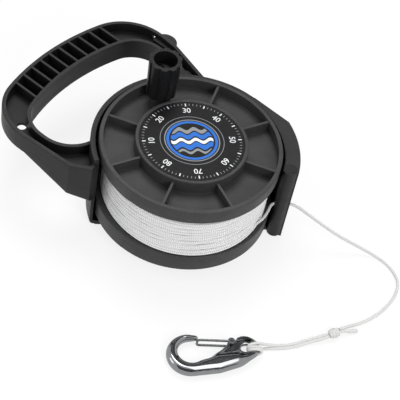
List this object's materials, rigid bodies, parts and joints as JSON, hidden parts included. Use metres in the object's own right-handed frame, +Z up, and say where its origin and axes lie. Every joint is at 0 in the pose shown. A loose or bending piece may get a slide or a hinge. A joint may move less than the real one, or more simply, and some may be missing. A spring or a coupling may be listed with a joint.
{
  "type": "dive reel",
  "caption": "Hand-held dive reel: a spool of white line in a black frame with a D-shaped handle, a winding knob, a thumb-lever ratchet and a snap hook on the line's end.",
  "frame": {"origin": "where the spool's axis meets the floor that the frame's base lies on", "axes": "+Z up along the spool's axis; the handle reaches along -X; the line leaves on the +X side"},
  "size_m": [0.3016, 0.1961, 0.106],
  "materials": {
    "frame_plastic": "fine moulded texture",
    "spool_plastic": "satin moulding",
    "knob_plastic": "satin moulding",
    "bush_plastic": "smooth acetal",
    "label": "printed film",
    "line": "braided nylon",
    "brass": "turned",
    "polished_steel": "polished stainless casting",
    "steel": "stainless"
  },
  "bodies": {
    "frame": {"reel_frame": "frame_plastic", "guide_plug": "frame_plastic", "axle_pin": "steel", "thrust_washer": "steel", "axle_cap_washer": "steel", "axle_screw": "steel", "line_lead": "line", "line_free": "line", "line_knot": "line", "line_tail": "line", "line_loop": "line", "hook_body": "polished_steel", "gate_pin": "polished_steel"},
    "spool": {"spool_upper": "spool_plastic", "spool_lower": "spool_plastic", "upper_bush": "bush_plastic", "lower_bush": "bush_plastic", "barrel_screws": "steel", "hub_label": "label", "knob_insert": "brass", "knob_spindle": "steel", "line_core": "line", "line_winding": "line"},
    "knob": {"knob_grip": "knob_plastic"},
    "lever": {"thumb_lever": "frame_plastic", "lever_shaft": "steel", "lever_screw": "steel", "pawl": "frame_plastic", "pawl_clip": "steel", "detent_ball": "steel", "detent_spring": "steel"},
    "gate": {"hook_gate": "polished_steel"}
  },
  "joints": [
    {"name": "spool_spin", "type": "hinge", "parent": "frame", "child": "spool", "pos_m": [0, 0, 0.04], "axis": [0, 0, 1], "continuous": true},
    {"name": "knob_spin", "type": "hinge", "parent": "spool", "child": "knob", "pos_m": [-0.04688, 0.02058, 0.09], "axis": [0, 0, 1], "continuous": true},
    {"name": "lever_turn", "type": "hinge", "parent": "frame", "child": "lever", "pos_m": [-0.053, 0.0585, 0.058], "axis": [0, 0, 1], "range_deg": [-6, 6]},
    {"name": "gate_swing", "type": "hinge", "parent": "frame", "child": "gate", "pos_m": [0.10448, -0.06873, 0.004], "axis": [0, 0, 1], "range_deg": [0, 28], "stiffness_Nm_per_rad": 0.03, "springref_deg": -8.59}
  ]
}
